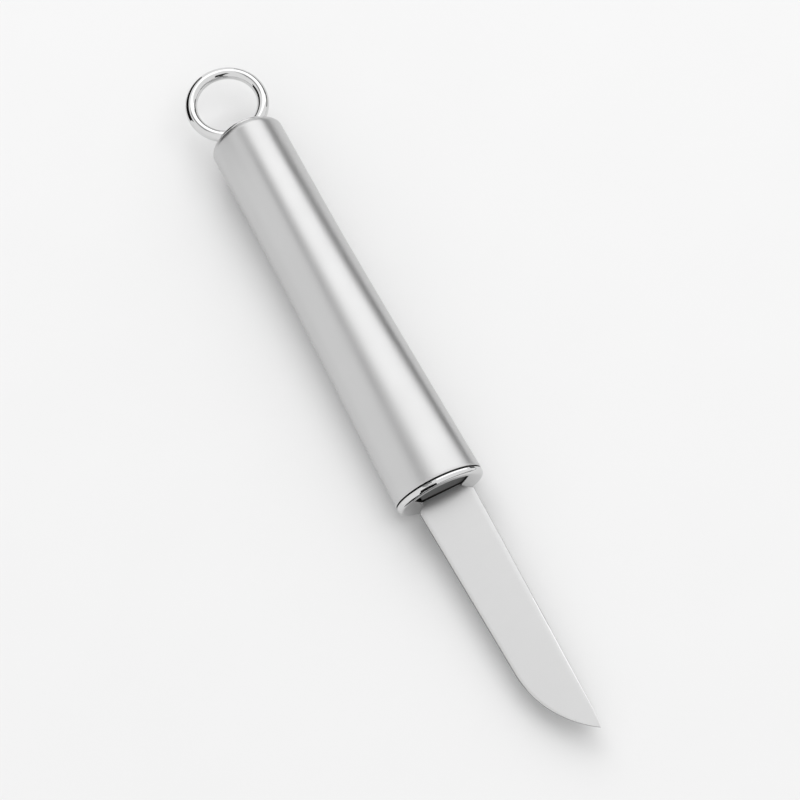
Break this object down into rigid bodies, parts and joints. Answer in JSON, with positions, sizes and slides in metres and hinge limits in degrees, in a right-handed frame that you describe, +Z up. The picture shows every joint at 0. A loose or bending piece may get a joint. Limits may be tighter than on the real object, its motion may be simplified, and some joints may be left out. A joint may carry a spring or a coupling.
{
  "type": "paring knife",
  "caption": "Small straight-spined kitchen knife with a squeezed tubular steel handle, a windowed end cap and a swinging ring to hang it by.",
  "frame": {"origin": "on the table the knife lies on, under the middle of its overall length and on the handle's centre line", "axes": "+X along the handle to the blade's tip, +Y from the cutting edge to the spine, +Z up, square to the blade's flat"},
  "size_m": [0.2012, 0.0228, 0.0188],
  "materials": {
    "brushed_handle": "fine matt brushed stainless steel",
    "polished_fittings": "mirror polished stainless steel",
    "satin_blade": "satin ground stainless steel",
    "dark_plug": "dark grey moulded plastic"
  },
  "bodies": {
    "knife": {"handle_tube": "brushed_handle", "front_cap": "polished_fittings", "tang_holder": "dark_plug", "blade": "satin_blade", "end_plug": "polished_fittings"},
    "ring": {"hanging_ring": "polished_fittings"}
  },
  "joints": [
    {"name": "ring_swing", "type": "hinge", "parent": "knife", "child": "ring", "pos_m": [-0.081, 0, 0.0094], "axis": [0, 1, 0], "range_deg": [-74, 74]}
  ]
}
